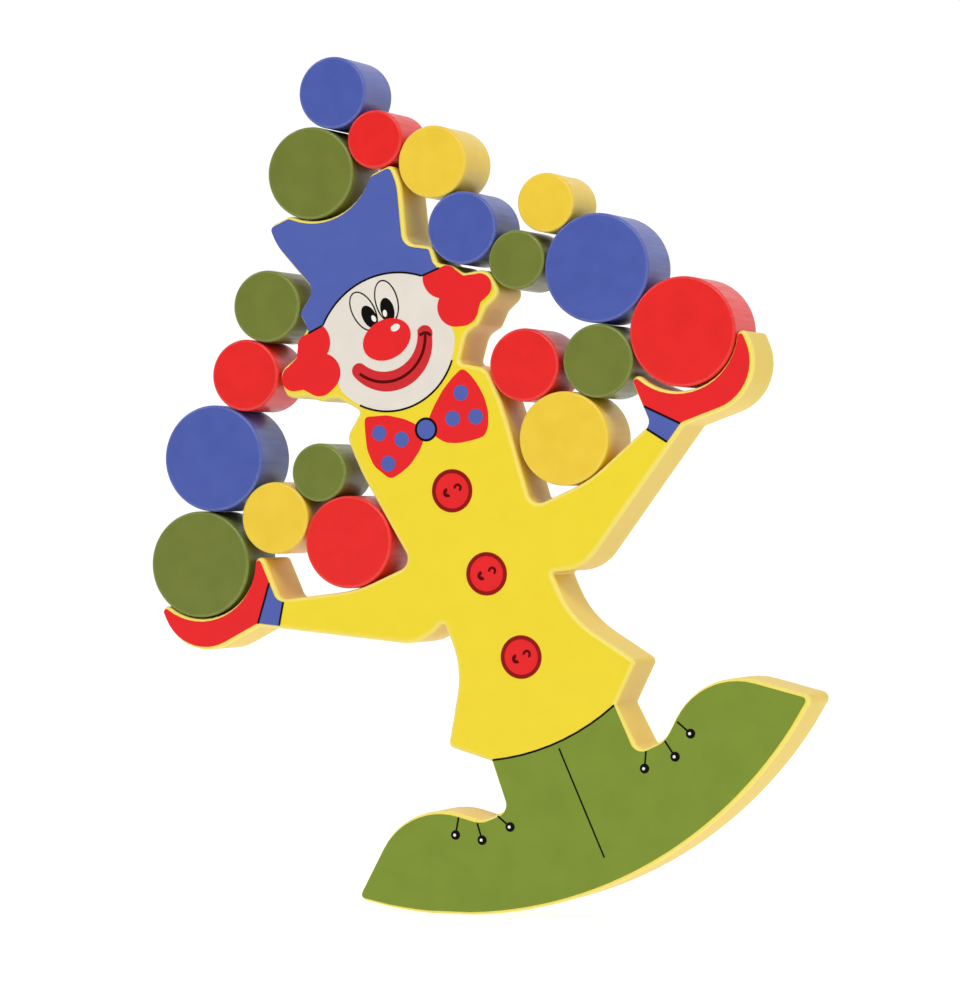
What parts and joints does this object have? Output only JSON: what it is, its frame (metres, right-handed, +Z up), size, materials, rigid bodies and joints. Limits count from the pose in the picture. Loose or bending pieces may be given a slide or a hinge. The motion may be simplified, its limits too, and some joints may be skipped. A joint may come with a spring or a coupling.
{
  "type": "balance game",
  "caption": "Wooden balance game: a flat clown figure on a curved rocker sole, holding a pile of loose painted wooden cylinders on its arms, shoulders and hat.",
  "frame": {"origin": "middle of the level flat of the sole on which the tilted figure rests, at mid thickness of the board", "axes": "+Z up, -Y towards the viewer of the painted front, +X to the viewer's right"},
  "size_m": [0.2327, 0.024, 0.2858],
  "materials": {
    "yellow_board": "painted, satin",
    "red_cylinder": "painted, satin",
    "blue_cylinder": "painted, satin",
    "green_cylinder": "painted, satin",
    "yellow_cylinder": "painted, satin"
  },
  "bodies": {
    "clown_figure": {"clown_figure": "yellow_board"},
    "green_cylinder_in_hat": {"green_cylinder_in_hat": "green_cylinder"},
    "red_cylinder_right_hand": {"red_cylinder_right_hand": "red_cylinder"},
    "green_cylinder_left_hand": {"green_cylinder_left_hand": "green_cylinder"},
    "yellow_cylinder_right_armpit": {"yellow_cylinder_right_armpit": "yellow_cylinder"},
    "red_cylinder_left_armpit": {"red_cylinder_left_armpit": "red_cylinder"},
    "yellow_cylinder_left_arm": {"yellow_cylinder_left_arm": "yellow_cylinder"},
    "green_cylinder_left_shoulder": {"green_cylinder_left_shoulder": "green_cylinder"},
    "blue_cylinder_left": {"blue_cylinder_left": "blue_cylinder"},
    "red_cylinder_left_hair": {"red_cylinder_left_hair": "red_cylinder"},
    "green_cylinder_left_brim": {"green_cylinder_left_brim": "green_cylinder"},
    "green_cylinder_right_arm": {"green_cylinder_right_arm": "green_cylinder"},
    "red_cylinder_right_shoulder": {"red_cylinder_right_shoulder": "red_cylinder"},
    "blue_cylinder_right": {"blue_cylinder_right": "blue_cylinder"},
    "green_cylinder_right_hair": {"green_cylinder_right_hair": "green_cylinder"},
    "yellow_cylinder_right": {"yellow_cylinder_right": "yellow_cylinder"},
    "blue_cylinder_right_brim": {"blue_cylinder_right_brim": "blue_cylinder"},
    "red_cylinder_hat_tip": {"red_cylinder_hat_tip": "red_cylinder"},
    "yellow_cylinder_right_hat": {"yellow_cylinder_right_hat": "yellow_cylinder"},
    "blue_cylinder_top": {"blue_cylinder_top": "blue_cylinder"}
  },
  "joints": [
    {"name": "green_cylinder_in_hat_pull", "type": "slide", "parent": "clown_figure", "child": "green_cylinder_in_hat", "axis": [0, -1, 0], "range_m": [0, 0.04]},
    {"name": "red_cylinder_right_hand_pull", "type": "slide", "parent": "clown_figure", "child": "red_cylinder_right_hand", "axis": [0, -1, 0], "range_m": [0, 0.04]},
    {"name": "green_cylinder_left_hand_pull", "type": "slide", "parent": "clown_figure", "child": "green_cylinder_left_hand", "axis": [0, -1, 0], "range_m": [0, 0.04]},
    {"name": "yellow_cylinder_right_armpit_pull", "type": "slide", "parent": "clown_figure", "child": "yellow_cylinder_right_armpit", "axis": [0, -1, 0], "range_m": [0, 0.04]},
    {"name": "red_cylinder_left_armpit_pull", "type": "slide", "parent": "clown_figure", "child": "red_cylinder_left_armpit", "axis": [0, -1, 0], "range_m": [0, 0.04]},
    {"name": "yellow_cylinder_left_arm_pull", "type": "slide", "parent": "clown_figure", "child": "yellow_cylinder_left_arm", "axis": [0, -1, 0], "range_m": [0, 0.04]},
    {"name": "green_cylinder_left_shoulder_pull", "type": "slide", "parent": "clown_figure", "child": "green_cylinder_left_shoulder", "axis": [0, -1, 0], "range_m": [0, 0.04]},
    {"name": "blue_cylinder_left_pull", "type": "slide", "parent": "clown_figure", "child": "blue_cylinder_left", "axis": [0, -1, 0], "range_m": [0, 0.04]},
    {"name": "red_cylinder_left_hair_pull", "type": "slide", "parent": "clown_figure", "child": "red_cylinder_left_hair", "axis": [0, -1, 0], "range_m": [0, 0.04]},
    {"name": "green_cylinder_left_brim_pull", "type": "slide", "parent": "clown_figure", "child": "green_cylinder_left_brim", "axis": [0, -1, 0], "range_m": [0, 0.04]},
    {"name": "green_cylinder_right_arm_pull", "type": "slide", "parent": "clown_figure", "child": "green_cylinder_right_arm", "axis": [0, -1, 0], "range_m": [0, 0.04]},
    {"name": "red_cylinder_right_shoulder_pull", "type": "slide", "parent": "clown_figure", "child": "red_cylinder_right_shoulder", "axis": [0, -1, 0], "range_m": [0, 0.04]},
    {"name": "blue_cylinder_right_pull", "type": "slide", "parent": "clown_figure", "child": "blue_cylinder_right", "axis": [0, -1, 0], "range_m": [0, 0.04]},
    {"name": "green_cylinder_right_hair_pull", "type": "slide", "parent": "clown_figure", "child": "green_cylinder_right_hair", "axis": [0, -1, 0], "range_m": [0, 0.04]},
    {"name": "yellow_cylinder_right_pull", "type": "slide", "parent": "clown_figure", "child": "yellow_cylinder_right", "axis": [0, -1, 0], "range_m": [0, 0.04]},
    {"name": "blue_cylinder_right_brim_pull", "type": "slide", "parent": "clown_figure", "child": "blue_cylinder_right_brim", "axis": [0, -1, 0], "range_m": [0, 0.04]},
    {"name": "red_cylinder_hat_tip_pull", "type": "slide", "parent": "clown_figure", "child": "red_cylinder_hat_tip", "axis": [0, -1, 0], "range_m": [0, 0.04]},
    {"name": "yellow_cylinder_right_hat_pull", "type": "slide", "parent": "clown_figure", "child": "yellow_cylinder_right_hat", "axis": [0, -1, 0], "range_m": [0, 0.04]},
    {"name": "blue_cylinder_top_pull", "type": "slide", "parent": "clown_figure", "child": "blue_cylinder_top", "axis": [0, -1, 0], "range_m": [0, 0.04]}
  ]
}
